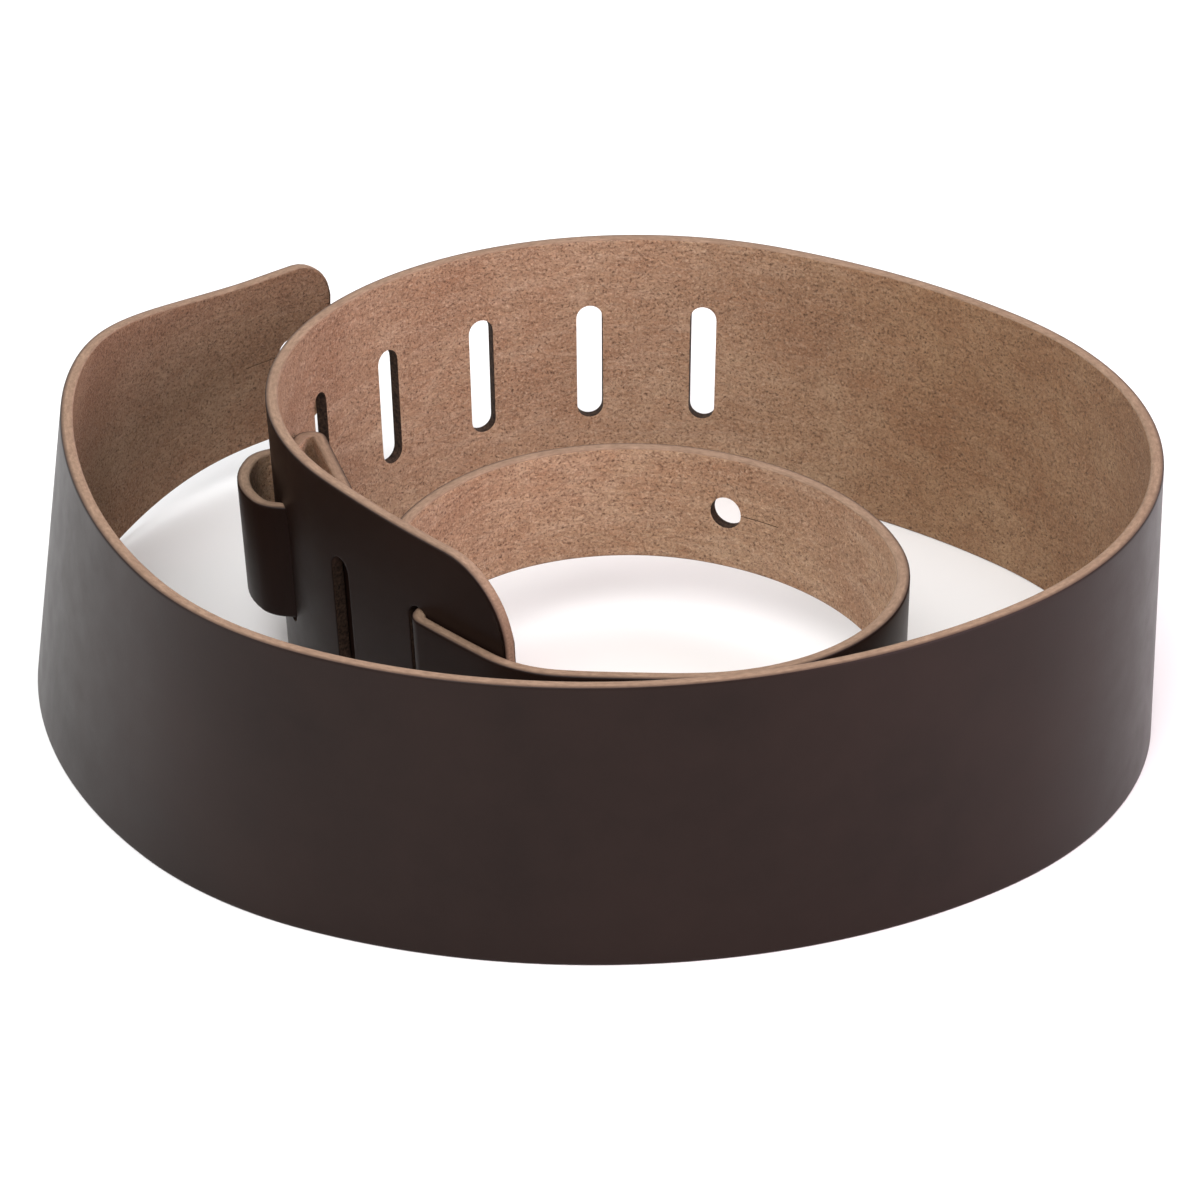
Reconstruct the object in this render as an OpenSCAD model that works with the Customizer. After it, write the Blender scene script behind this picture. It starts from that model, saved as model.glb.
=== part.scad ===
// Leather guitar strap, coiled and standing on its edge.
// A wide main strap has a ladder of slots, and a narrow adjuster strap is laced
// through three of them. Lengths are in millimetres and angles in degrees.

/* [Leather] */
// Thickness of both straps
leather_t = 3.4; // [3:0.1:3.5]
// Free play where one piece of leather moves past another
play = 0.4; // [0.3:0.05:0.5]

/* [Main strap] */
// Width of the main strap
strap_w = 76; // [70:1:80]
// Corner radius at the ladder end
ladder_corner_r = 20; // [10:1:24]
// Width of the tapered button end
button_end_w = 54; // [48:1:60]
// Length over which the strap narrows
taper_len = 98; // [80:1:100]
// Length of the narrow part beyond the taper
narrow_len = 26; // [24:1:28]
// Corner radius at the button end
button_corner_r = 13; // [8:1:16]

/* [Ladder slots] */
// Number of slots
slots = 9; // [6:1:9]
// Length of a slot, end to end
slot_len = 35; // [34:0.5:38]
// Width of a slot
slot_w = 7.6; // [6.8:0.1:8]
// Distance from the ladder end to the first slot
first_slot = 32; // [31:1:34]
// Distance between slots
slot_pitch = 33.2; // [32.8:0.2:33.4]

/* [Adjuster strap] */
// Width of the adjuster strap
adjuster_w = 33; // [30:0.5:33]
// Corner radius at both ends of the adjuster strap
adjuster_corner_r = 11; // [5:1:14]
// Length of the tail that lies inside the coil
tail_len = 40; // [25:1:41]

/* [Button holes] */
// Diameter of the hole that grips a strap button
hole_d = 9; // [8:0.5:10]
// Width of the slit beside the hole
slit_w = 1; // [0.6:0.1:1.4]
// Length of the slit, from the centre of the hole
slit_len = 17; // [12:1:20]
// Distance from the main strap's button end to its hole
main_hole_in = 15; // [13:1:18]
// Distance from the adjuster's button end to its hole
adjuster_hole_in = 122; // [112:1:124]

/* [Hidden] */
$fn = 48;

// Length of the cutters, which reach well past both faces of the leather
cut = 30;
// The longest facet on a wide bend, and the largest turn between two facets
facet_len = 4;
facet_turn = 7.5;
// Straight distance across the taper for each unit of length along its bend
taper_chord = 0.965;
// Number of even steps in which the taper is drawn
taper_steps = 24;
dark_brown = [0.22, 0.17, 0.15];
tan_flesh = [0.63, 0.49, 0.39];

// A run is followed from a state [x, y, heading] through a list of bends, each
// [radius, turn]. A turn to the right is negative, and where the turn is 0 the
// first number is the length of a straight.

// The main strap, from its ladder end round the coil to its button end
main_start = [-15.9, -84.3, 136];
main_bends = [[422, -9.5], [94, -152], [213, -21], [112, -96], [167, -62],
              [115, -26], [173, -37.5], [130, -48.5], [706, -3]];
main_len = run_len(main_bends);

// The adjuster's loop, from beside the ladder end to its own button end
loop_bends = [[30, 35.5], [881, 1.5], [55, 110.5], [75, 55.5], [59, 113]];
loop_from = 4;
loop_len = run_len(loop_bends);

// Where each strap flexes, measured along its run
shoulder_flex = 430;
button_flex = 850;
loop_flex = 14;
adjuster_end_flex = loop_len - 165;
flex_gap = leather_t/2 + play;

// How the adjuster crosses a slot: the angle to the wall, the radius of the
// two bends, and how far its middle then lies from the middle of the wall
cross_a = 62;
cross_r = 4;
lie = leather_t + play;
cross_mid = 2*(lie - cross_r*(1 - cos(cross_a)))/sin(cross_a);
cross_half = cross_r*sin(cross_a) + cross_mid/2*cos(cross_a);

// The lacing runs back from the loop to the ladder end, along the outside of
// the wall to slot 0, through it, and along the inside as far as slot 2
lacing_start = about_turn(loop_at(loop_flex - flex_gap));
first_heading = main_at(first_slot)[2];
lacing_inner = concat(
    backwards(along(loop_bends, 0, loop_flex - flex_gap)),
    along(main_bends, loop_from, first_slot - cross_half, lie),
    [[cross_r, first_heading - cross_a - main_at(first_slot - cross_half)[2]],
     [cross_mid, 0],
     [cross_r, main_at(first_slot + cross_half)[2] - first_heading + cross_a]],
    along(main_bends, first_slot + cross_half, slot_at(2) - cross_half, -lie));
inner_end = at(lacing_start, lacing_inner, run_len(lacing_inner));

// It leaves slot 2, turns tightly outside the coil and comes back in through
// slot 3, where it curls round into the tail. The straights at both ends of
// the outside turn are as long as it takes to meet the slots.
out_heading = main_at(slot_at(2))[2] + cross_a;
in_heading = main_at(slot_at(3))[2] - cross_a;
out_bend = [cross_r, out_heading - inner_end[2]];
outer_turn = [[8, -45], [25, in_heading - out_heading + 90], [8, -45]];
turned = at(step(inner_end, out_bend), outer_turn, run_len(outer_turn));
miss = [main_at(slot_at(3))[0] - turned[0], main_at(slot_at(3))[1] - turned[1]];
swing = sin(in_heading - out_heading);
straight_out = (miss[0]*sin(in_heading) - miss[1]*cos(in_heading))/swing;
straight_in = (miss[1]*cos(out_heading) - miss[0]*sin(out_heading))/swing;
curl = [[4.5, 52], [3, 0], [2.8, -152]];
lacing_bends = concat(lacing_inner, [out_bend, [straight_out, 0]], outer_turn,
                      [[straight_in + cross_mid/2, 0]], curl);
tail_start = at(lacing_start, lacing_bends, run_len(lacing_bends));

function slot_at(k) = first_slot + k*slot_pitch;
function main_at(l) = at(main_start, main_bends, l);
function loop_at(l) = at(about_turn(beside(main_at(loop_from), lie)), loop_bends, l);

// Length of a bend, of the first n bends of a run, and of a whole run
function bend_len(b) = b[1] == 0 ? b[0] : b[0]*abs(b[1])*PI/180;
function len_to(bends, n) = n == 0 ? 0 : len_to(bends, n - 1) + bend_len(bends[n - 1]);
function run_len(bends) = len_to(bends, len(bends));

// The bends between two lengths of a run, d to its left, and run backwards
function along(bends, from, to, d = 0) = [for (i = [0:len(bends) - 1])
    let (l = min(to, len_to(bends, i + 1)) - max(from, len_to(bends, i)))
    if (l > 0.01) [bends[i][0] - d*sign(bends[i][1]), bends[i][1]*l/bend_len(bends[i])]];
function backwards(bends) =
    [for (i = [len(bends) - 1:-1:0]) [bends[i][0], -bends[i][1]]];

// A stretch of a bend
function stretch(b, l) = b[1] == 0 ? [l, 0] : [b[0], b[1]*l/bend_len(b)];

// The state after a bend, at a length along a run, d to the left, and reversed
function step(p, b) =
    b[1] == 0 ? [p[0] + b[0]*cos(p[2]), p[1] + b[0]*sin(p[2]), p[2]]
    : let (r = b[0]*sign(b[1]), q = p[2] + b[1])
      [p[0] + r*(sin(q) - sin(p[2])), p[1] - r*(cos(q) - cos(p[2])), q];
function at(p, bends, l, i = 0) =
    i == len(bends) || l <= 0 ? p
    : l <= bend_len(bends[i]) ? step(p, stretch(bends[i], l))
    : at(step(p, bends[i]), bends, l - bend_len(bends[i]), i + 1);
function beside(p, d) = [p[0] - d*sin(p[2]), p[1] + d*cos(p[2]), p[2]];
function about_turn(p) = [p[0], p[1], p[2] > 0 ? p[2] - 180 : p[2] + 180];
function xy(p) = [p[0], p[1]];

module place(p) translate([p[0], p[1], 0]) rotate([0, 0, p[2]]) children();

// Points along a run between two lengths, d to the left of its line, close
// enough together to be smooth on a wide bend and on a tight one
function facets(b, l) = b[1] == 0 ? 1
    : ceil(max(l/facet_len, abs(b[1])*l/bend_len(b)/facet_turn));
function side(p, bends, from, to, d) = concat(
    [for (i = [0:len(bends) - 1])
        let (a = max(from, len_to(bends, i)), b = min(to, len_to(bends, i + 1)),
             n = facets(bends[i], max(b - a, 0)))
        if (b - a > 0.01) for (j = [0:n - 1])
            xy(beside(at(p, bends, a + (b - a)*j/n), d))],
    [xy(beside(at(p, bends, to), d))]);
function reversed(v) = [for (i = [len(v) - 1:-1:0]) v[i]];

// A half round on the start of a piece, in even steps between its two sides
round_step = 15;
function round_start(p) = [for (a = [90 + round_step:round_step:270 - round_step])
    [p[0] + leather_t/2*cos(p[2] - a), p[1] + leather_t/2*sin(p[2] - a)]];

// Leather wall that follows part of a run, standing from z to z + h. A piece
// that flexes has a rounded start, and it turns about the middle of that.
module wall(p, bends, from, to, z, h, flexes = false)
    translate([0, 0, z]) linear_extrude(h)
        polygon(concat(side(p, bends, from, to, leather_t/2),
                       reversed(side(p, bends, from, to, -leather_t/2)),
                       flexes ? round_start(at(p, bends, from)) : []));

// Cutters, all in the frame of a place on the run with x pointing along it
module round_slot(w, h) {
    translate([-w/2, -cut/2, -(h - w)/2]) cube([w, cut, h - w]);
    for (s = [-1, 1]) translate([0, 0, s*(h - w)/2])
        rotate([90, 0, 0]) cylinder(d = w, h = cut, center = true);
}
module end_corners(r, w) for (s = [-1, 1]) difference() {
    translate([-r, -cut/2, s*(w/2 - r) - (s < 0 ? 2*r : 0)]) cube([2*r, cut, 2*r]);
    translate([-r, 0, s*(w/2 - r)]) rotate([90, 0, 0])
        cylinder(r = r, h = 2*cut, center = true);
}
module button_hole() {
    rotate([90, 0, 0]) cylinder(d = hole_d, h = cut, center = true);
    translate([-slit_len, -cut/2, -slit_w/2]) cube([slit_len, cut, slit_w]);
}

// Both edges draw in along an S curve from full width to the button end
module taper() {
    chord = taper_len*taper_chord;
    drop = (strap_w - button_end_w)/2;
    for (s = [-1, 1]) rotate([90, 0, 0]) linear_extrude(2*cut, center = true)
        polygon(concat(
            [for (i = [0:taper_steps]) [chord*(i/taper_steps - 0.5),
                s*(strap_w/2 - drop*(1 - cos(180*i/taper_steps))/2)]],
            [[chord/2 + 2*narrow_len, s*button_end_w/2],
             [chord/2 + 2*narrow_len, s*strap_w], [-chord/2, s*strap_w]]));
}
module at_mid(p) place(p) translate([0, 0, strap_w/2]) children();

module main_wall(from, to, flexes = false)
    wall(main_start, main_bends, from, to, 0, strap_w, flexes);
module adjuster_wall(p, bends, from, to, flexes = false)
    wall(p, bends, from, to, (strap_w - adjuster_w)/2, adjuster_w, flexes);

module ladder_section() color(dark_brown) difference() {
    main_wall(0, shoulder_flex - flex_gap);
    for (k = [0:slots - 1]) at_mid(main_at(slot_at(k))) round_slot(slot_w, slot_len);
    at_mid(about_turn(main_at(0))) end_corners(ladder_corner_r, strap_w);
}

module shoulder_section() color(dark_brown)
    main_wall(shoulder_flex, button_flex - flex_gap, true);

module button_end() color(dark_brown) difference() {
    main_wall(button_flex, main_len, true);
    at_mid(main_at(main_len - narrow_len - taper_len/2)) taper();
    at_mid(main_at(main_len)) end_corners(button_corner_r, button_end_w);
    at_mid(main_at(main_len - main_hole_in)) button_hole();
}

module adjuster_lacing() color(dark_brown)
    adjuster_wall(lacing_start, lacing_bends, 0, run_len(lacing_bends) - flex_gap);

module adjuster_loop() color(dark_brown)
    adjuster_wall(loop_at(0), loop_bends, loop_flex, adjuster_end_flex - flex_gap, true);

module adjuster_button_end() color(dark_brown) difference() {
    adjuster_wall(loop_at(0), loop_bends, adjuster_end_flex, loop_len, true);
    at_mid(loop_at(loop_len)) end_corners(adjuster_corner_r, adjuster_w);
    at_mid(loop_at(loop_len - adjuster_hole_in)) button_hole();
}

module adjuster_tail() color(tan_flesh) difference() {
    adjuster_wall(tail_start, [[tail_len, 0]], 0, tail_len, true);
    at_mid(step(tail_start, [tail_len, 0])) end_corners(adjuster_corner_r, adjuster_w);
}

ladder_section();
shoulder_section();
button_end();
adjuster_lacing();
adjuster_loop();
adjuster_button_end();
adjuster_tail();
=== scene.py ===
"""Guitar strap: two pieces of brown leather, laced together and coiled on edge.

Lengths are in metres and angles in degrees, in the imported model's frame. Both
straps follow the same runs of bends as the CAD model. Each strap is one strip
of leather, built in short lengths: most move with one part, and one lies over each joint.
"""
from math import asin, ceil, cos, pi, radians, sin, sqrt, tan

import bpy
import numpy as np
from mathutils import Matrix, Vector


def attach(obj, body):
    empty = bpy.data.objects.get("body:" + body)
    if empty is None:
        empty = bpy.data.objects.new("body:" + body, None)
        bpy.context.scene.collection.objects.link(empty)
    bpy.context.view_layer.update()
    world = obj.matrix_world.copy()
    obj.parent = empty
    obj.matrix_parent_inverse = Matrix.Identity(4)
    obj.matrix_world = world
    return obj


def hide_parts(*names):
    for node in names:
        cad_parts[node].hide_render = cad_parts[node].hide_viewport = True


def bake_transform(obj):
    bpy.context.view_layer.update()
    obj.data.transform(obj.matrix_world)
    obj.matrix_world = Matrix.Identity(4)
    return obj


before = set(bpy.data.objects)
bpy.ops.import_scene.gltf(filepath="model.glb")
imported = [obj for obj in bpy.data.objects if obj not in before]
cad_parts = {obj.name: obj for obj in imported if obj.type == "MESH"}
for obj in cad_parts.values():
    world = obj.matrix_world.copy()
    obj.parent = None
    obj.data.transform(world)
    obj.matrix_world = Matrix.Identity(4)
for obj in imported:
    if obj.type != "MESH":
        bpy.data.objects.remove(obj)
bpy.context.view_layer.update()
mm = 0.001

# ---------------------------------------------------------------- sizes
leather_t = 3.4 * mm
play = 0.4 * mm
strap_w = 76 * mm
ladder_corner_r = 20 * mm
button_end_w = 54 * mm
taper_len = 98 * mm
narrow_len = 26 * mm
button_corner_r = 13 * mm
slots = 9
slot_len = 35 * mm
slot_w = 7.6 * mm
first_slot = 32 * mm
slot_pitch = 33.2 * mm
adjuster_w = 33 * mm
adjuster_corner_r = 11 * mm
tail_len = 40 * mm
hole_d = 9 * mm
slit_w = 0.05 * mm
slit_len = 17 * mm
slit_tip = 0.4                       # its first point, as a share of a step
main_hole_in = 15 * mm
adjuster_hole_in = 122 * mm
mid_z = strap_w / 2

# Bends of each run: [radius, turn], or [length, 0] for a straight
main_start = (-15.9 * mm, -84.3 * mm, 136.0)
main_bends = [[422, -9.5], [94, -152], [213, -21], [112, -96], [167, -62],
              [115, -26], [173, -37.5], [130, -48.5], [706, -3]]
loop_bends = [[30, 35.5], [881, 1.5], [55, 110.5], [75, 55.5], [59, 113]]
loop_from = 4 * mm
shoulder_flex = 430 * mm
button_flex = 850 * mm
loop_flex = 14 * mm
end_flex_in = 165 * mm

# How the adjuster crosses a slot: its angle to the wall and the radius of both
# bends. Then the outside turn between two slots, and the curl into the tail.
cross_a = 62
cross_r = 4 * mm
shoulder_r, shoulder_a = 8 * mm, 45
turn_r = 25 * mm
curl = [[4.5 * mm, 52], [3 * mm, 0], [2.8 * mm, -152]]

# How far the wall of the main strap leans out at the top, in degrees, at
# evenly spaced places along it
lean_knots = [3.2, 2.5, 2.0, 2.5, 1.4, -1.6, -1.9, 0.4, -2.0, -8.4, -6.7, -4.1]


# ---------------------------------------------------------------- runs
def in_metres(bends):
    return [[b[0] * mm, b[1]] for b in bends]


def bend_len(b):
    return b[0] if b[1] == 0 else b[0] * radians(abs(b[1]))


def run_len(bends):
    return sum(bend_len(b) for b in bends)


def step(p, b):
    """The state (x, y, heading) after one bend."""
    x, y, h = p
    length, turn = b
    if turn == 0:
        return (x + length * cos(radians(h)), y + length * sin(radians(h)), h)
    r = length * (1 if turn > 0 else -1)
    g = h + turn
    return (x + r * (sin(radians(g)) - sin(radians(h))),
            y - r * (cos(radians(g)) - cos(radians(h))), g)


def at(p, bends, length):
    """The state at a length along a run."""
    for b in bends:
        whole = bend_len(b)
        if length <= 0:
            return p
        if length <= whole:
            return step(p, [length, 0] if b[1] == 0 else [b[0], b[1] * length / whole])
        p = step(p, b)
        length -= whole
    return p


def along(bends, start, end, d=0.0):
    """The bends between two lengths of a run, d to its left."""
    out, done = [], 0.0
    for b in bends:
        whole = bend_len(b)
        length = min(end, done + whole) - max(start, done)
        if length > 1e-5:
            side = (b[1] > 0) - (b[1] < 0)
            out.append([b[0] - d * side, b[1] * length / whole])
        done += whole
    return out


def backwards(bends):
    return [[b[0], -b[1]] for b in reversed(bends)]


def beside(p, d):
    return (p[0] - d * sin(radians(p[2])), p[1] + d * cos(radians(p[2])), p[2])


def about_turn(p):
    return (p[0], p[1], p[2] - 180 if p[2] > 0 else p[2] + 180)


main_bends = in_metres(main_bends)
loop_bends = in_metres(loop_bends)
main_len = run_len(main_bends)
loop_len = run_len(loop_bends)
lie = leather_t + play
loop_start = about_turn(beside(at(main_start, main_bends, loop_from), lie))


def main_at(length):
    return at(main_start, main_bends, length)


def loop_at(length):
    return at(loop_start, loop_bends, length)


def slot_at(k):
    return first_slot + k * slot_pitch


def lacing_run():
    """The bends of the adjuster from the loop's joint to the tail's joint."""
    cross_mid = 2 * (lie - cross_r * (1 - cos(radians(cross_a)))) / sin(radians(cross_a))
    cross_half = cross_r * sin(radians(cross_a)) + cross_mid / 2 * cos(radians(cross_a))
    first = main_at(first_slot)[2]
    into = first_slot - cross_half
    past = first_slot + cross_half
    inner = (backwards(along(loop_bends, 0, loop_flex))
             + along(main_bends, loop_from, into, lie)
             + [[cross_r, first - cross_a - main_at(into)[2]], [cross_mid, 0],
                [cross_r, main_at(past)[2] - first + cross_a]]
             + along(main_bends, past, slot_at(2) - cross_half, -lie))
    begin = about_turn(loop_at(loop_flex))
    inner_end = at(begin, inner, run_len(inner))
    out_h = main_at(slot_at(2))[2] + cross_a
    in_h = main_at(slot_at(3))[2] - cross_a
    out_bend = [cross_r, out_h - inner_end[2]]
    shoulder = [shoulder_r, -shoulder_a]
    outer = [shoulder, [turn_r, in_h - out_h + 2 * shoulder_a], shoulder]
    turned = at(step(inner_end, out_bend), outer, run_len(outer))
    target = main_at(slot_at(3))
    mx, my = target[0] - turned[0], target[1] - turned[1]
    swing = sin(radians(in_h - out_h))
    s_out = (mx * sin(radians(in_h)) - my * cos(radians(in_h))) / swing
    s_in = (my * cos(radians(out_h)) - mx * sin(radians(out_h))) / swing
    return (inner + [out_bend, [s_out, 0]] + outer
            + [[s_in + cross_mid / 2, 0]] + curl)


lacing_bends = lacing_run()
lacing_len = run_len(lacing_bends)

# The whole adjuster as one run, from the tip of its button end to its tail
adjuster_start = about_turn(loop_at(loop_len))
adjuster_bends = (backwards(along(loop_bends, loop_flex, loop_len))
                  + lacing_bends + [[tail_len, 0]])
adjuster_len = run_len(adjuster_bends)
to_loop_flex = loop_len - loop_flex
to_tail_flex = to_loop_flex + lacing_len


# ---------------------------------------------------------------- lean
def spline(knots):
    """A natural cubic through evenly spaced knots, as a function of 0..1."""
    n = len(knots) - 1
    a = np.zeros((n + 1, n + 1))
    rhs = np.zeros(n + 1)
    a[0, 0] = a[n, n] = 1
    for i in range(1, n):
        a[i, i - 1:i + 2] = (1, 4, 1)
        rhs[i] = 6 * (knots[i - 1] - 2 * knots[i] + knots[i + 1])
    curve = np.linalg.solve(a, rhs)

    def value(t):
        u = min(max(t, 0.0), 1.0) * n
        i = min(int(u), n - 1)
        f = u - i
        g = 1 - f
        return (knots[i] * g + knots[i + 1] * f
                + (curve[i] * (g ** 3 - g) + curve[i + 1] * (f ** 3 - f)) / 6)
    return value


main_lean = spline(lean_knots)


def lean_at(s):
    return main_lean(s / main_len)


class Wall:
    """The ladder end of the main strap, for what lies against it and leans with it."""
    close, fade_over = 12 * mm, 33 * mm
    stations = np.arange(0, 150 * mm, 1 * mm)
    states = [main_at(s) for s in stations]
    xy = np.array([p[:2] for p in states])

    @classmethod
    def push(cls, x, y):
        """The sideways push per metre of height at a place near the wall."""
        d = np.hypot(cls.xy[:, 0] - x, cls.xy[:, 1] - y)
        i = int(d.argmin())
        fade = min(max((cls.close + cls.fade_over - d[i]) / cls.fade_over, 0.0), 1.0)
        fade = fade * fade * (3 - 2 * fade)
        slope = tan(radians(lean_at(cls.stations[i]))) * fade
        h = radians(cls.states[i][2])
        return -sin(h) * slope, cos(h) * slope


# ---------------------------------------------------------------- strips
class Strip:
    """A strap: the run of its middle, its half width along it, and its cuts."""

    def __init__(self, start, bends, half_width, corner_r, rows, push, finishes):
        self.start, self.bends, self.length = start, bends, run_len(bends)
        self.half_width, self.corner_r, self.rows = half_width, corner_r, rows
        self.push, self.finishes = push, finishes
        self.cuts = []
        self.known = {}

    def place(self, s):
        """The middle, the outward normal and the push per metre of height, at s."""
        key = round(s, 8)
        if key not in self.known:
            x, y, h = at(self.start, self.bends, s)
            nx, ny = -sin(radians(h)), cos(radians(h))
            self.known[key] = (x, y, nx, ny) + self.push(s, x, y, nx, ny)
        return self.known[key]

    def point(self, s, z, out):
        """Where s along, z up from the middle line and out towards the grain is."""
        x, y, nx, ny, px, py = self.place(s)
        up = mid_z + z
        return Vector((x + nx * out + px * up, y + ny * out + py * up, up))


def push_main(s, x, y, nx, ny):
    slope = tan(radians(lean_at(s)))
    return nx * slope, ny * slope


def push_adjuster(s, x, y, nx, ny):
    return Wall.push(x, y)


def corner_cut(s, r):
    """How much a rounded corner takes off the half width, s from the end."""
    return 0.0 if s >= r else r - sqrt(max(r * r - (r - s) ** 2, 0.0))


def main_half(s):
    """Half the main strap's width: corners, full width, then the S-curve taper."""
    half = strap_w / 2
    drop = half - button_end_w / 2
    t = min(max((s - (main_len - narrow_len - taper_len)) / taper_len, 0.0), 1.0)
    half -= drop * (1 - cos(pi * t)) / 2
    return half - corner_cut(s, ladder_corner_r) - corner_cut(main_len - s, button_corner_r)


def adjuster_half(s):
    return (adjuster_w / 2 - corner_cut(s, adjuster_corner_r)
            - corner_cut(adjuster_len - s, adjuster_corner_r))


def slot_outline(rim):
    """The points of a slot's edge that face the points of the rectangle round it."""
    r = slot_w / 2
    reach = slot_len / 2 - r
    points = []
    for a, b in rim:
        c = min(max(b, -reach), reach)
        d = sqrt(a * a + (b - c) ** 2)
        points.append((a / d * r, c + (b - c) / d * r))
    return points


def keyhole_outline(rim):
    """Points round a button hole and its slit, starting from the slit's tip."""
    r, w = hole_d / 2, slit_w / 2
    meet = asin(w / r)
    n_slit = len(rim) // 5
    n_arc = len(rim) - 2 * n_slit - 1
    slit = [-slit_len + (i + slit_tip) / n_slit * (slit_len - r) for i in range(n_slit)]
    turns = [pi - meet - 2 * (pi - meet) * i / (n_arc - 1) for i in range(n_arc)]
    side = 1 if rim[0][0] < 0 else -1
    points = ([(-slit_len, 0.0)] + [(a, w) for a in slit]
              + [(r * cos(g), r * sin(g)) for g in turns]
              + [(a, -w) for a in reversed(slit)])
    return [(side * a, side * b) for a, b in points]


# ---------------------------------------------------------------- meshes
# The edge's profile, from the grain side to the flesh side: how far in from
# the outline and how far across the thickness each line of it lies
edge_profile = [(0.9, 1.0), (0.4, 0.985), (0.14, 0.88), (0.02, 0.62), (0.0, 0.2),
                (0.0, -0.25), (0.04, -0.62), (0.18, -0.87), (0.45, -0.975), (0.9, -1.0)]
grain_lines, flesh_lines = 2, 1      # how many of its faces belong to each side
punched = 0.15                       # how rounded a punched edge is beside that
cell = 2.75 * mm                     # the longest step between stations
seam = 0.4 * mm                      # the short step beside a cut end
bend_step = 6.0                      # degrees between stations on a tight bend
corner_steps = 12
# The last finish is painted shade on the walls of slots and holes.
GRAIN, FLESH, EDGE, SLOT_SHADE = range(4)  # a piece's finishes, in the order it has them

# How far the rings round a hole lie from its rectangle (0) to its edge (1)
ring_places = (0.3, 0.55, 0.76, 0.91, 1.0)


def fill(strip, a, b):
    """Stations from a up to b, close together where the strip bends tightly."""
    out, done = [], 0.0
    for bend in strip.bends:
        whole = bend_len(bend)
        low, high = max(a, done), min(b, done + whole)
        if high - low > 1e-6:
            tight = bend[0] * radians(bend_step) if bend[1] else cell
            n = max(1, ceil((high - low) / min(cell, tight) - 1e-6))
            out += [low + (high - low) * i / n for i in range(n)]
        done += whole
    return out


def corner_stations(strip, at_start):
    """Stations through a rounded corner, closest together at the strap's tip."""
    r = strip.corner_r[0 if at_start else 1]
    arc = [r * (1 - cos(pi / 2 * i / corner_steps)) for i in range(corner_steps + 1)]
    return arc if at_start else [strip.length - d for d in reversed(arc)]


def stations(strip, a, b):
    """All the stations of a piece from a to b: corners, cuts, seams and the rest."""
    fixed = []
    if a == 0:
        fixed.append(corner_stations(strip, True))
    else:
        fixed.append([a, a + seam])
    for kind, s0, before, after, columns, half_rows in strip.cuts:
        if a < s0 < b:
            fixed.append([s0 - before + (before + after) * i / columns
                          for i in range(columns + 1)])
    if b == strip.length:
        clear = fixed[-1][-1] + seam * 3 / 4
        fixed.append([d for d in corner_stations(strip, False) if d > clear])
    else:
        fixed.append([b - seam, b])
    out = []
    for i, part in enumerate(fixed):
        if out and part[0] - out[-1] > 1e-6:
            out += fill(strip, out[-1], part[0])[1:]
        out += [s for s in part if not out or s > out[-1] + 1e-6]
    return out


def flat_piece(strip, a, b):
    """The piece laid flat: points (s, z), quads, and its edges as rims.

    A rim is a list of points with the leather on its left, and whether it closes."""
    st = stations(strip, a, b)
    rows = strip.rows
    levels = [2 * j / rows - 1 for j in range(rows + 1)]
    points, node = [], {}
    for i, s in enumerate(st):
        for j, level in enumerate(levels):
            node[i, j] = len(points)
            points.append((s, strip.half_width(s) * level))
    quads, rims, gone = [], [], set()
    for kind, s0, before, after, columns, half_rows in strip.cuts:
        if not a < s0 < b:
            continue
        i0 = min(range(len(st)), key=lambda i: abs(st[i] - (s0 - before)))
        i1 = min(range(len(st)), key=lambda i: abs(st[i] - (s0 + after)))
        j0, j1 = rows // 2 - half_rows, rows // 2 + half_rows
        gone |= {(i, j) for i in range(i0, i1) for j in range(j0, j1)}
        mid = rows // 2
        path = ([(i0, j) for j in range(mid, j1)] + [(i, j1) for i in range(i0, i1)]
                + [(i1, j) for j in range(j1, j0, -1)]
                + [(i, j0) for i in range(i1, i0, -1)] + [(i0, j) for j in range(j0, mid)])
        if kind == "keyhole_turned":
            half = path.index((i1, mid))
            path = path[half:] + path[:half]
        ring = [node[ij] for ij in path]
        rim = [(points[n][0] - s0, points[n][1]) for n in ring]
        outline = slot_outline(rim) if kind == "slot" else keyhole_outline(rim)
        last = ring
        for t in ring_places:
            new = []
            for (ra, rb), (oa, ob) in zip(rim, outline):
                new.append(len(points))
                points.append((s0 + ra + (oa - ra) * t, rb + (ob - rb) * t))
            for k in range(len(ring)):
                n = (k + 1) % len(ring)
                quads.append((last[k], last[n], new[n], new[k]))
            last = new
        rims.append((last, True))
    for i in range(len(st) - 1):
        for j in range(rows):
            if (i, j) not in gone:
                quads.append((node[i, j], node[i + 1, j], node[i + 1, j + 1], node[i, j + 1]))
    low = [node[i, 0] for i in range(len(st))]
    high = [node[i, rows] for i in reversed(range(len(st)))]
    first = [node[0, j] for j in range(rows, -1, -1)]
    final = [node[len(st) - 1, j] for j in range(rows + 1)]
    starts, ends = a == 0, b == strip.length
    if starts:
        rims.append((high[:-1] + first + low[1:], False))
    elif ends:
        rims.append((low[:-1] + final + high[1:], False))
    else:
        rims += [(low, False), (high, False)]
    caps = ([] if starts else [(list(reversed(first)), False)])
    caps += [] if ends else [(final, True)]
    return points, quads, rims, caps


def turned_quads(quads, points):
    """Quads that all run anticlockwise in the flat piece."""
    out = []
    for q in quads:
        area = 0.0
        for k in range(4):
            p0, p1 = points[q[k]], points[q[(k + 1) % 4]]
            area += p0[0] * p1[1] - p1[0] * p0[1]
        out.append(q if area > 0 else tuple(reversed(q)))
    return out


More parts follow.
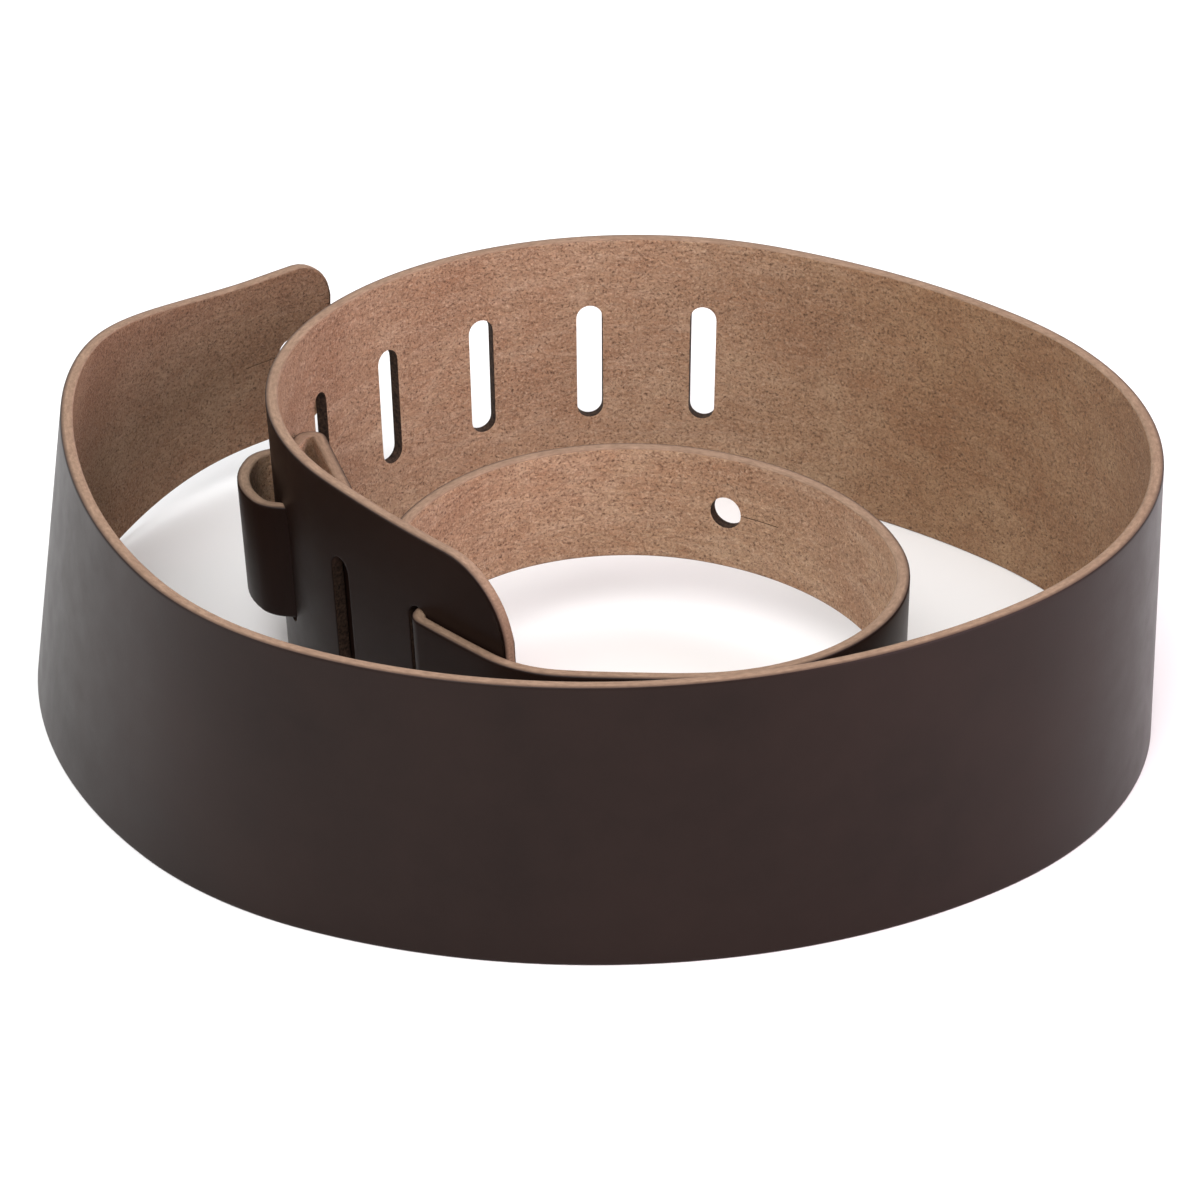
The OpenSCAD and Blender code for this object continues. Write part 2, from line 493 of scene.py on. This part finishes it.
def inset_directions(points, rims):
    """The direction into the leather at each rim point, in the flat piece."""
    inward = {}
    for rim, closed in rims:
        n = len(rim)
        for k, index in enumerate(rim):
            before = points[rim[k - 1] if k or closed else rim[k]]
            after = points[rim[(k + 1) % n] if k < n - 1 or closed else rim[k]]
            da, db = after[0] - before[0], after[1] - before[1]
            d = sqrt(da * da + db * db)
            inward[index] = (-db / d, da / d)
    return inward


def leather_mesh(name, strip, a, b):
    """A piece of the strip from a to b: two skins, rounded edges and closed ends."""
    points, quads, rims, caps = flat_piece(strip, a, b)
    quads = turned_quads(quads, points)
    rim_points = [i for rim, closed in rims for i in rim]
    crisp = {i for rim, closed in rims if closed for i in rim}
    inward = inset_directions(points, rims)
    half_t = leather_t / 2
    verts, uvs, across = [], [], []

    def add(index, inset, out):
        s, z = points[index]
        if index in inward:
            inset *= punched if index in crisp else 1.0
            s += inward[index][0] * inset
            z += inward[index][1] * inset
        s = min(max(s, 0.0), strip.length)
        verts.append(strip.point(s, z, out * half_t))
        uvs.append((s, z))
        across.append(out)
        return len(verts) - 1

    used = sorted({i for q in quads for i in q} | set(rim_points))
    skin_in = edge_profile[0][0] * mm
    grain = {i: add(i, skin_in, 1.0) for i in used}
    flesh = {i: add(i, skin_in, -1.0) for i in used}
    lines = {i: [grain[i]] + [add(i, d * mm, out) for d, out in edge_profile[1:-1]]
             + [flesh[i]] for i in rim_points}
    faces, finish_of = [], []
    for q in quads:
        faces += [tuple(grain[i] for i in reversed(q)), tuple(flesh[i] for i in q)]
        finish_of += [GRAIN, FLESH]
    last = len(edge_profile) - 1
    for rim, closed in rims:
        ends = len(rim) if closed else len(rim) - 1
        for k in range(ends):
            p, q = lines[rim[k]], lines[rim[(k + 1) % len(rim)]]
            for line in range(last):
                faces.append((p[line], q[line], q[line + 1], p[line + 1]))
                is_grain, is_flesh = line < grain_lines, line >= last - flesh_lines
                # Closed rims are the walls of slots and holes: their middle lines take the
                # painted slot shade.
                finish_of.append(GRAIN if is_grain else FLESH if is_flesh
                                 else SLOT_SHADE if closed else EDGE)
    smooth = [True] * len(faces)
    for column, at_end in caps:
        ring = ([grain[i] for i in column] + lines[column[-1]][1:-1]
                + [flesh[i] for i in reversed(column)] + lines[column[0]][1:-1][::-1])
        faces.append(tuple(ring if at_end else reversed(ring)))
        finish_of.append(EDGE)
        smooth.append(False)
    mesh = bpy.data.meshes.new(name)
    mesh.from_pydata(verts, [], faces)
    for finish in strip.finishes:
        mesh.materials.append(finish)
    mesh.polygons.foreach_set("material_index", finish_of)
    mesh.polygons.foreach_set("use_smooth", smooth)
    strap_uv = mesh.uv_layers.new(name="strap")
    corner = np.zeros(len(mesh.loops), np.int32)
    mesh.loops.foreach_get("vertex_index", corner)
    strap_uv.data.foreach_set("uv", np.array(uvs)[corner].ravel())
    attribute = mesh.attributes.new("across", "FLOAT", "POINT")
    attribute.data.foreach_set("value", across)
    sharp = mesh.attributes.new("sharp_edge", "BOOLEAN", "EDGE")
    cap_edges = {tuple(sorted(e)) for f, s in zip(faces, smooth) if not s
                 for e in zip(f, f[1:] + f[:1])}
    sharp.data.foreach_set("value", [tuple(sorted(e.vertices)) in cap_edges
                                     for e in mesh.edges])
    mesh.update()
    obj = bpy.data.objects.new(name, mesh)
    bpy.context.scene.collection.objects.link(obj)
    return obj


# ---------------------------------------------------------------- materials
def node_tree(name):
    """A new material, its nodes and its shader."""
    m = bpy.data.materials.new(name)
    m.use_nodes = True
    tree = m.node_tree
    shader = tree.nodes["Principled BSDF"]
    return m, tree, shader


def add_node(tree, kind, inputs=(), **settings):
    """A shader node, with links or values on its inputs."""
    node = tree.nodes.new("ShaderNode" + kind)
    for key, value in settings.items():
        setattr(node, key, value)
    for key, value in dict(inputs).items():
        if isinstance(value, bpy.types.NodeSocket):
            tree.links.new(value, node.inputs[key])
        else:
            node.inputs[key].default_value = value
    return node


def strap_place(tree, along_scale=1.0, up_scale=1.0):
    """Places on the laid-out strap, in metres, with either direction squeezed."""
    uv = add_node(tree, "UVMap", uv_map="strap")
    across = add_node(tree, "Attribute", attribute_name="across").outputs["Fac"]
    apart = add_node(tree, "SeparateXYZ", {"Vector": uv.outputs["UV"]})
    depth = add_node(tree, "Math", {0: across, 1: leather_t / 2}, operation="MULTIPLY")
    place = add_node(tree, "CombineXYZ", {"X": apart.outputs["X"], "Y": apart.outputs["Y"],
                                          "Z": depth.outputs[0]})
    return add_node(tree, "Mapping", {"Vector": place.outputs[0],
                                      "Scale": (along_scale, up_scale, 1.0)}).outputs[0]


def noise(tree, place, size, detail=4.0, rough=0.55, seed=0.0, twist=0.0):
    """Noise whose features are about size metres across."""
    moved = add_node(tree, "VectorMath", {0: place, 1: (seed, seed * 0.7, seed * 0.3)})
    return add_node(tree, "TexNoise", {"Vector": moved.outputs[0], "Scale": 1 / size,
                                       "Detail": detail, "Roughness": rough,
                                       "Distortion": twist}).outputs["Fac"]


def ramp(tree, value, stops):
    """A colour that passes through stops, each a place from 0 to 1 and a colour."""
    node = add_node(tree, "ValToRGB", {"Fac": value})
    elements = node.color_ramp.elements
    while len(elements) < len(stops):
        elements.new(0.5)
    for element, (place, colour) in zip(elements, stops):
        element.position = place
        element.color = (*colour, 1.0)
    return node.outputs["Color"]


def mix(tree, amount, a, b, blend="MIX"):
    """Colour a with an amount of colour b in it; each is a link or a value."""
    node = add_node(tree, "Mix", data_type="RGBA", blend_type=blend)
    for index, value in ((0, amount), (6, a), (7, b)):
        if isinstance(value, bpy.types.NodeSocket):
            tree.links.new(value, node.inputs[index])
        elif index == 0:
            node.inputs[index].default_value = value
        else:
            node.inputs[index].default_value = (*value, 1.0)
    return node.outputs[2]


def span(tree, value, low, high, to_low=0.0, to_high=1.0):
    """The value, taken from the range low..high to to_low..to_high."""
    return add_node(tree, "MapRange", {"Value": value, "From Min": low, "From Max": high,
                                       "To Min": to_low, "To Max": to_high}).outputs[0]


def bump(tree, height, strength, depth, below=None):
    """A normal from relief depth metres deep, on top of the one below."""
    node = add_node(tree, "Bump", {"Height": height, "Strength": strength,
                                   "Distance": depth})
    if below is not None:
        tree.links.new(below, node.inputs["Normal"])
    return node.outputs[0]


def grain_material():
    """Dark brown grain side: smooth and satin, with fine pores and faint mottling."""
    m, tree, shader = node_tree("grain_leather")
    place = strap_place(tree)
    broad = noise(tree, place, 45 * mm, 3.0, 0.5, 3.1)
    cloudy = noise(tree, place, 9 * mm, 5.0, 0.6, 8.4)
    colour = ramp(tree, broad, [(0.3, (0.0095, 0.0045, 0.0032)),
                                (0.7, (0.0140, 0.0069, 0.0051))])
    colour = mix(tree, span(tree, cloudy, 0.35, 0.75, 0.0, 0.35), colour,
                 (0.0165, 0.0084, 0.0064))
    tree.links.new(colour, shader.inputs["Base Color"])
    rough = span(tree, cloudy, 0.3, 0.7, 0.36, 0.42)
    tree.links.new(rough, shader.inputs["Roughness"])
    shader.inputs["Specular IOR Level"].default_value = 0.12
    cells = add_node(tree, "TexVoronoi", {"Vector": place, "Scale": 1 / (0.9 * mm)},
                     feature="DISTANCE_TO_EDGE").outputs["Distance"]
    creases = span(tree, cells, 0.0, 0.18)
    pores = noise(tree, place, 0.5 * mm, 3.0, 0.6, 1.7)
    pull = noise(tree, strap_place(tree, 0.35, 1.0), 12 * mm, 3.0, 0.5, 5.5)
    normal = bump(tree, pull, 0.10, 0.6 * mm)
    normal = bump(tree, pores, 0.12, 0.05 * mm, normal)
    normal = bump(tree, creases, 0.10, 0.04 * mm, normal)
    tree.links.new(normal, shader.inputs["Normal"])
    return m


def flesh_material(name, shade_stops=()):
    """Tan flesh side: a short suede nap, mottled and brushed in patches.

    Shade stops paint shade into the colour, darkening the leather towards places along the
    strap, in metres, where less light falls on it."""
    m, tree, shader = node_tree(name)
    place = strap_place(tree)
    broad = noise(tree, strap_place(tree, 0.7, 1.0), 42 * mm, 4.0, 0.6, 2.3, 0.6)
    patches = noise(tree, strap_place(tree, 0.8, 1.0), 12 * mm, 5.0, 0.65, 6.1, 0.8)
    streaks = noise(tree, strap_place(tree, 0.22, 1.0), 4 * mm, 4.0, 0.6, 12.6, 1.2)
    nap = noise(tree, strap_place(tree, 0.8, 1.1), 1.4 * mm, 5.0, 0.7, 4.4, 0.5)
    specks = noise(tree, place, 0.75 * mm, 3.0, 0.65, 9.2, 0.3)
    colour = ramp(tree, broad, [(0.30, (0.420, 0.235, 0.138)), (0.50, (0.545, 0.345, 0.213)),
                                (0.72, (0.700, 0.490, 0.328))])
    colour = mix(tree, span(tree, patches, 0.40, 0.66, 0.0, 0.65), colour,
                 (0.460, 0.245, 0.138))
    colour = mix(tree, span(tree, streaks, 0.48, 0.66, 0.0, 0.35), colour,
                 (0.700, 0.495, 0.350))
    colour = mix(tree, span(tree, nap, 0.36, 0.54, 0.55, 0.0), colour,
                 (0.280, 0.152, 0.088))
    colour = mix(tree, span(tree, specks, 0.54, 0.70, 0.0, 0.65), colour,
                 (0.740, 0.530, 0.380))
    colour = mix(tree, span(tree, specks, 0.32, 0.45, 0.90, 0.0), colour,
                 (0.130, 0.067, 0.040))
    # Painted shade: the flesh colour is darkened along the strap, where less light reaches
    # it.
    if shade_stops:
        run = add_node(tree, "SeparateXYZ", {"Vector": place}).outputs["X"]
        painted_shade = ramp(tree, span(tree, run, 0.0, main_len),
                        [(where / main_len, shade_level) for where, shade_level in shade_stops])
        colour = mix(tree, 1.0, colour, painted_shade, "MULTIPLY")
    tree.links.new(colour, shader.inputs["Base Color"])
    shader.inputs["Roughness"].default_value = 0.95
    shader.inputs["Specular IOR Level"].default_value = 0.15
    shader.inputs["Sheen Weight"].default_value = 0.12
    shader.inputs["Sheen Roughness"].default_value = 0.55
    shader.inputs["Sheen Tint"].default_value = (1.0, 0.86, 0.74, 1.0)
    normal = bump(tree, patches, 0.35, 0.9 * mm)
    normal = bump(tree, nap, 1.0, 1.5 * mm, normal)
    normal = bump(tree, specks, 0.9, 0.7 * mm, normal)
    tree.links.new(normal, shader.inputs["Normal"])
    return m


def edge_material():
    """Cut edge: raw tan fibres, darker where the dye has soaked in."""
    m, tree, shader = node_tree("edge_leather")
    across = add_node(tree, "Attribute", attribute_name="across").outputs["Fac"]
    place = strap_place(tree)
    fibres = noise(tree, strap_place(tree, 0.35, 1.6), 0.8 * mm, 5.0, 0.65, 3.8)
    smudges = noise(tree, place, 7 * mm, 4.0, 0.6, 7.7)
    colour = ramp(tree, fibres, [(0.30, (0.180, 0.114, 0.074)),
                                 (0.70, (0.325, 0.216, 0.146))])
    colour = mix(tree, span(tree, smudges, 0.40, 0.70, 0.0, 0.40), colour,
                 (0.170, 0.102, 0.066))
    soaked = span(tree, across, 0.30, 0.90)
    colour = mix(tree, soaked, colour, (0.050, 0.028, 0.020))
    tree.links.new(colour, shader.inputs["Base Color"])
    shader.inputs["Roughness"].default_value = 0.72
    shader.inputs["Specular IOR Level"].default_value = 0.25
    normal = bump(tree, fibres, 0.45, 0.25 * mm)
    normal = bump(tree, smudges, 0.20, 0.6 * mm, normal)
    tree.links.new(normal, shader.inputs["Normal"])
    return m


def slot_shade_material():
    """The walls of a punched hole or slot, coloured near black as painted shade inside it."""
    m, tree, shader = node_tree("painted_slot_shade")
    fibres = noise(tree, strap_place(tree), 0.9 * mm, 4.0, 0.6, 2.9)
    colour = ramp(tree, fibres, [(0.35, (0.014, 0.008, 0.006)),
                                 (0.70, (0.070, 0.042, 0.028))])
    tree.links.new(colour, shader.inputs["Base Color"])
    shader.inputs["Roughness"].default_value = 0.8
    shader.inputs["Specular IOR Level"].default_value = 0.15
    tree.links.new(bump(tree, fibres, 0.4, 0.25 * mm), shader.inputs["Normal"])
    return m


# Painted shade levels along the main strap's flesh side: light up to 0.29 of its length, deep
# from 0.37 on, a little less deep at the button end.
painted_shade_start, painted_shade_deep, painted_shade_end = (0.86, 0.86, 0.86), (0.61, 0.53, 0.44), (0.62, 0.55, 0.50)
main_flesh = flesh_material("flesh_leather", [(0.29, painted_shade_start), (0.37, painted_shade_deep),
                                              (0.90, painted_shade_deep), (1.00, painted_shade_end)])
adjuster_flesh = flesh_material("adjuster_flesh")
grain, cut_edge, painted_slot_shade = grain_material(), edge_material(), slot_shade_material()


# ---------------------------------------------------------------- the strap
# Each cut in a strap is its kind, its place, how far the rectangle round it
# reaches back and on along the strap, and its columns and half its rows of cells
round_slot, round_hole, round_slit = 11 * mm, 9 * mm, 23 * mm
main_strip = Strip(main_start, main_bends, main_half,
                   (ladder_corner_r, button_corner_r), 28, push_main,
                   (grain, main_flesh, cut_edge, painted_slot_shade))
for k in range(slots):
    main_strip.cuts.append(("slot", slot_at(k), round_slot, round_slot, 8, 9))
main_strip.cuts.append(("keyhole", main_len - main_hole_in, round_slit, round_hole, 16, 6))

adjuster_strip = Strip(adjuster_start, adjuster_bends, adjuster_half,
                       (adjuster_corner_r, adjuster_corner_r), 12, push_adjuster,
                       (grain, adjuster_flesh, cut_edge, painted_slot_shade))
adjuster_strip.cuts.append(("keyhole_turned", adjuster_hole_in,
                            round_hole, round_slit, 16, 4))


def rigid(name, strip, a, b, body, node):
    """A length of leather that moves with one body and stands for its CAD node."""
    piece = leather_mesh(name, strip, a, b)
    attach(piece, body)
    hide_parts(node)


def bending(name, strip, a, b):
    """A length of leather over a joint, attached to no body, so it keeps its rest shape."""
    piece = leather_mesh(name, strip, a, b)
    strip.point(a, 0, 0)
    strip.point(b, 0, 0)
    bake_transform(piece)


# Half the length of leather that bends at each kind of joint
wide, short, tiny = 25 * mm, 9 * mm, 3 * mm
rigid("ladder_leather", main_strip, 0, shoulder_flex - wide, "strap", "ladder_section")
bending("shoulder_bend", main_strip, shoulder_flex - wide, shoulder_flex + wide)
rigid("shoulder_leather", main_strip, shoulder_flex + wide, button_flex - wide,
      "shoulder", "shoulder_section")
bending("button_end_bend", main_strip, button_flex - wide, button_flex + wide)
rigid("button_end_leather", main_strip, button_flex + wide, main_len,
      "button_end", "button_end")

rigid("adjuster_end_leather", adjuster_strip, 0, end_flex_in - short,
      "adjuster_button_end", "adjuster_button_end")
bending("adjuster_end_bend", adjuster_strip, end_flex_in - short, end_flex_in + short)
rigid("adjuster_loop_leather", adjuster_strip, end_flex_in + short, to_loop_flex - short,
      "adjuster_loop", "adjuster_loop")
bending("adjuster_loop_bend", adjuster_strip, to_loop_flex - short, to_loop_flex + short)
rigid("adjuster_lacing_leather", adjuster_strip, to_loop_flex + short,
      to_tail_flex - tiny, "strap", "adjuster_lacing")
bending("adjuster_tail_bend", adjuster_strip, to_tail_flex - tiny, to_tail_flex + tiny)
rigid("adjuster_tail_leather", adjuster_strip, to_tail_flex + tiny, adjuster_len,
      "adjuster_tail", "adjuster_tail")


# ---------------------------------------------------------------- the studio
def studio_floor():
    """A large pale floor, 12 m wide."""
    mesh = bpy.data.meshes.new("floor")
    r = 6.0
    mesh.from_pydata([(-r, -r, 0), (r, -r, 0), (r, r, 0), (-r, r, 0)], [], [(0, 1, 2, 3)])
    m, _, shader = node_tree("pale_floor")
    shader.inputs["Base Color"].default_value = (0.92, 0.92, 0.92, 1.0)
    shader.inputs["Roughness"].default_value = 0.9
    shader.inputs["Specular IOR Level"].default_value = 0.1
    mesh.materials.append(m)
    floor = bpy.data.objects.new("floor", mesh)
    bpy.context.scene.collection.objects.link(floor)


def area_light(name, place, aim, size, power, colour=(1.0, 1.0, 1.0)):
    """A soft light of a size in metres and a power in watts, aimed at a point."""
    light = bpy.data.lights.new(name, "AREA")
    light.shape = "RECTANGLE"
    light.size, light.size_y = size
    light.energy = power
    light.color = colour
    obj = bpy.data.objects.new(name, light)
    obj.location = place
    obj.rotation_euler = (Vector(aim) - Vector(place)).to_track_quat("-Z", "Y").to_euler()
    bpy.context.scene.collection.objects.link(obj)


studio_floor()
area_light("overhead", (0.0, 0.1, 1.5), (0, 0, 0), (1.8, 1.8), 9)
area_light("front_key", (-0.35, -1.0, 1.25), (0, 0.05, 0.04), (0.8, 0.6), 14)
area_light("left_soft", (-1.15, -0.25, 0.45), (0, 0, 0.04), (0.5, 1.0), 4)
area_light("right_soft", (1.05, -0.50, 0.45), (0, 0, 0.04), (1.0, 1.0), 15, (1.0, 0.74, 0.83))

world = bpy.data.worlds.new("studio")
world.use_nodes = True
sky = world.node_tree.nodes["Background"]
sky.inputs["Color"].default_value = (1.0, 1.0, 1.0, 1.0)
sky.inputs["Strength"].default_value = 0.75
bpy.context.scene.world = world
bpy.context.scene.view_settings.view_transform = "Standard"

# The camera looks along +Y and down, at a point on the floor
look_down, look_from = radians(28.70), 0.9878
look_at = Vector((0.0035, 0.0407, 0.0))
camera = bpy.data.cameras.new("camera")
camera.lens = 105.8
view = bpy.data.objects.new("camera", camera)
view.location = look_at + Vector((0, -cos(look_down), sin(look_down))) * look_from
view.rotation_euler = (pi / 2 - look_down, 0, 0)
bpy.context.scene.collection.objects.link(view)
bpy.context.scene.camera = view
